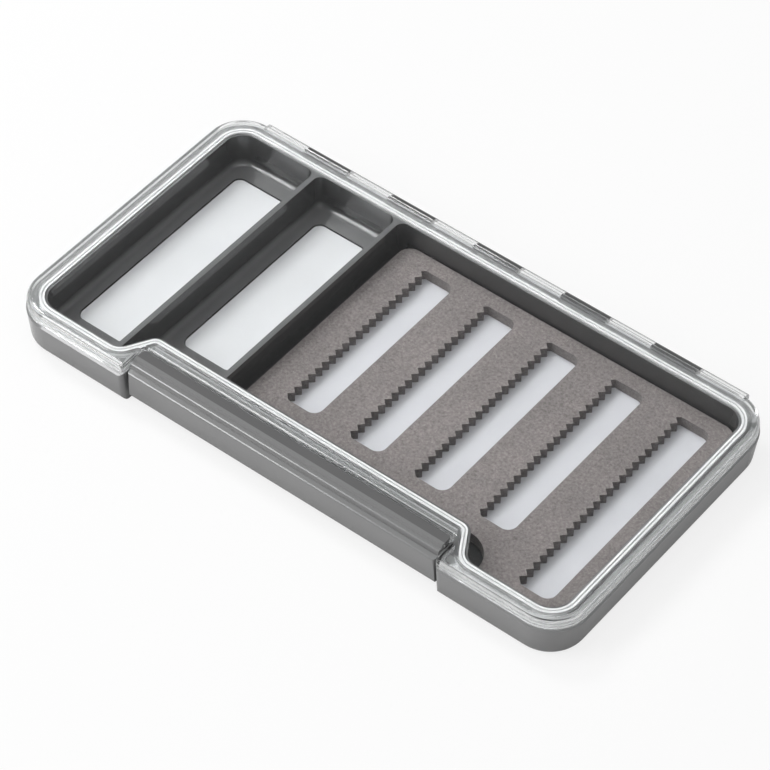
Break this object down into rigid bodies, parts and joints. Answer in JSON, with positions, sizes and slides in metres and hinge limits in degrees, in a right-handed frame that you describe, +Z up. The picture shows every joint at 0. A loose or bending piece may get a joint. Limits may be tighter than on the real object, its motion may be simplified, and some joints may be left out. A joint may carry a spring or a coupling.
{
  "type": "fly box",
  "caption": "Slim fishing fly box: grey tray with two open bins and a slotted foam bay, clear lid on a full-length rear hinge, swing-down front latch.",
  "frame": {"origin": "middle of the flat underside of the tray, under the centre of the rim outline", "axes": "+X along the length from the bins towards the foam bay, +Y from the latch towards the hinge, +Z up"},
  "size_m": [0.19, 0.1025, 0.0154],
  "materials": {
    "grey_plastic": "fine satin moulding, mid grey",
    "white_pad": "smooth matt white",
    "white_backing": "smooth matt white",
    "grey_foam": "fine closed-cell foam, warm grey",
    "soft_seal": "soft pale translucent",
    "pin_steel": "drawn wire",
    "clear_plastic": "clear polished"
  },
  "bodies": {
    "tray": {"base_tray": "grey_plastic", "bin_pad_1": "white_pad", "bin_pad_2": "white_pad", "foam_backing": "white_backing", "foam_insert": "grey_foam", "rim_seal": "soft_seal", "hinge_pin": "pin_steel"},
    "lid": {"lid": "clear_plastic"},
    "latch": {"latch": "grey_plastic"}
  },
  "joints": [
    {"name": "lid_hinge", "type": "hinge", "parent": "tray", "child": "lid", "pos_m": [0, 0.0504, 0.0114], "axis": [-1, 0, 0], "range_deg": [0, 180]},
    {"name": "latch_hinge", "type": "hinge", "parent": "tray", "child": "latch", "pos_m": [0, -0.0452, 0.0046], "axis": [1, 0, 0], "range_deg": [0, 90]}
  ]
}
